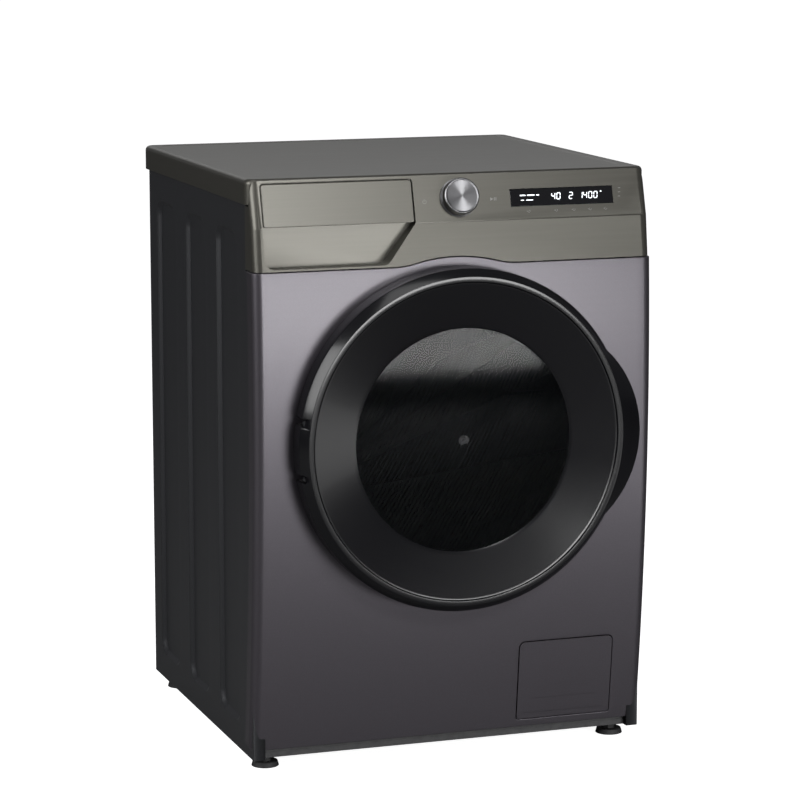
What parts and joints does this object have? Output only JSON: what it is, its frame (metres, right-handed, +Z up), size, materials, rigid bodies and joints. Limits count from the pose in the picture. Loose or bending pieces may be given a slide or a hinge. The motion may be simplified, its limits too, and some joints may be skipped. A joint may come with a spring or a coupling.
{
  "type": "front load washing machine",
  "caption": "Freestanding front loader with a bowed front, round glazed door, leaning control panel with knob, detergent drawer, sprung tub, belt-driven drum and adjustable feet.",
  "frame": {"origin": "on the floor under the middle of the whole, door and rear fittings included", "axes": "+Z up; the front faces -Y; +X is the viewer's right when facing the front"},
  "size_m": [0.6, 0.646, 0.85],
  "materials": {
    "dark_paint": "satin metallic",
    "side_paint": "satin",
    "olive_moulding": "satin metallic",
    "zinc_sheet": "dull zinc",
    "door_black": "gloss",
    "smoked_window": "gloss",
    "clear_glass": "gloss",
    "display_black": "gloss",
    "black_moulding": "matte",
    "white_moulding": "satin",
    "grey_moulding": "matte",
    "blue_moulding": "satin",
    "board_green": "satin",
    "grey_rubber": "matte",
    "black_rubber": "matte",
    "stainless": "brushed",
    "bright_steel": "polished",
    "cast_aluminium": "cast",
    "spun_aluminium": "brushed",
    "concrete": "rough cast",
    "motor_metal": "satin"
  },
  "bodies": {
    "cabinet": {"side_panel_left": "side_paint", "side_panel_right": "side_paint", "rear_panel": "zinc_sheet", "rear_cover": "zinc_sheet", "top_cover": "olive_moulding", "control_panel": "olive_moulding", "front_panel": "dark_paint", "base_pan": "black_moulding", "cross_braces": "zinc_sheet", "drawer_housing": "grey_moulding", "display_window": "display_black", "control_board": "board_green", "door_lock": "white_moulding", "hinge_bracket": "side_paint", "door_gasket": "grey_rubber", "damper_cylinders": "black_moulding", "suspension_springs": "bright_steel", "inlet_valve": "white_moulding", "fill_hose": "black_rubber", "dispenser_bellows": "black_rubber", "sump_hose": "black_rubber", "drain_pump": "black_moulding", "filter_housing": "grey_moulding", "drain_hose": "grey_moulding", "level_sensor": "white_moulding", "mains_filter": "zinc_sheet", "cord_gland": "black_moulding", "transit_caps": "white_moulding", "panel_screws": "bright_steel"},
    "tub": {"gasket_clamp": "bright_steel", "tub_front": "grey_moulding", "tub_rear": "grey_moulding", "counterweight_front": "concrete", "counterweight_top": "concrete", "motor": "motor_metal", "heater": "bright_steel", "damper_rods": "bright_steel", "drum_bearings": "bright_steel", "shaft_seal": "black_rubber", "drive_belt": "black_rubber"},
    "drum": {"drum_shell": "stainless", "drum_paddles": "white_moulding", "drum_spider": "cast_aluminium", "drum_pulley": "cast_aluminium"},
    "motor_rotor": {"motor_pulley": "bright_steel"},
    "door": {"door_ring": "door_black", "door_cover": "smoked_window", "door_inner_frame": "black_moulding", "door_bowl": "clear_glass", "door_hook": "bright_steel", "hinge_leaf": "side_paint"},
    "drawer": {"drawer_front": "olive_moulding", "drawer_tray": "white_moulding"},
    "knob": {"program_knob": "spun_aluminium"},
    "flap": {"service_flap": "dark_paint"},
    "filter": {"drain_filter": "blue_moulding"},
    "foot_fl": {"foot_front_left": "black_rubber"},
    "foot_fr": {"foot_front_right": "black_rubber"},
    "foot_rl": {"foot_rear_left": "black_rubber"},
    "foot_rr": {"foot_rear_right": "black_rubber"}
  },
  "joints": [
    {"name": "tub_bounce", "type": "slide", "parent": "cabinet", "child": "tub", "axis": [0, 0, 1], "range_m": [-0.008, 0.008], "stiffness_N_per_m": 7600, "springref_m": 0.04869, "deforming": ["suspension_springs", "dispenser_bellows", "sump_hose", "door_gasket"]},
    {"name": "drum_spin", "type": "hinge", "parent": "tub", "child": "drum", "pos_m": [0, 0, 0.476], "axis": [0, -1, 0], "continuous": true},
    {"name": "motor_spin", "type": "hinge", "parent": "tub", "child": "motor_rotor", "pos_m": [0.07, 0.1, 0.113], "axis": [0, -1, 0], "continuous": true},
    {"name": "door_hinge", "type": "hinge", "parent": "cabinet", "child": "door", "pos_m": [-0.2325, -0.307, 0.476], "axis": [0, 0, -1], "range_deg": [0, 120]},
    {"name": "drawer_slide", "type": "slide", "parent": "cabinet", "child": "drawer", "axis": [0, -1, 0], "range_m": [0, 0.2]},
    {"name": "knob_turn", "type": "hinge", "parent": "cabinet", "child": "knob", "pos_m": [0.008, -0.25534, 0.8155], "axis": [0, -0.9613, 0.2756], "continuous": true},
    {"name": "flap_hinge", "type": "hinge", "parent": "cabinet", "child": "flap", "pos_m": [0.1775, -0.24079, 0.05], "axis": [1, 0, 0], "range_deg": [0, 80]},
    {"name": "filter_turn", "type": "hinge", "parent": "cabinet", "child": "filter", "pos_m": [0.1775, -0.211, 0.088], "axis": [0, -1, 0], "range_deg": [0, 100]},
    {"name": "foot_fl_screw", "type": "hinge", "parent": "cabinet", "child": "foot_fl", "pos_m": [-0.268, -0.207, 0], "axis": [0, 0, 1], "continuous": true},
    {"name": "foot_fr_screw", "type": "hinge", "parent": "cabinet", "child": "foot_fr", "pos_m": [0.268, -0.207, 0], "axis": [0, 0, 1], "continuous": true},
    {"name": "foot_rl_screw", "type": "hinge", "parent": "cabinet", "child": "foot_rl", "pos_m": [-0.268, 0.259, 0], "axis": [0, 0, 1], "continuous": true},
    {"name": "foot_rr_screw", "type": "hinge", "parent": "cabinet", "child": "foot_rr", "pos_m": [0.268, 0.259, 0], "axis": [0, 0, 1], "continuous": true}
  ],
  "couplings": [
    {"joint": "motor_spin", "follows": "drum_spin", "ratio": 12.382}
  ]
}
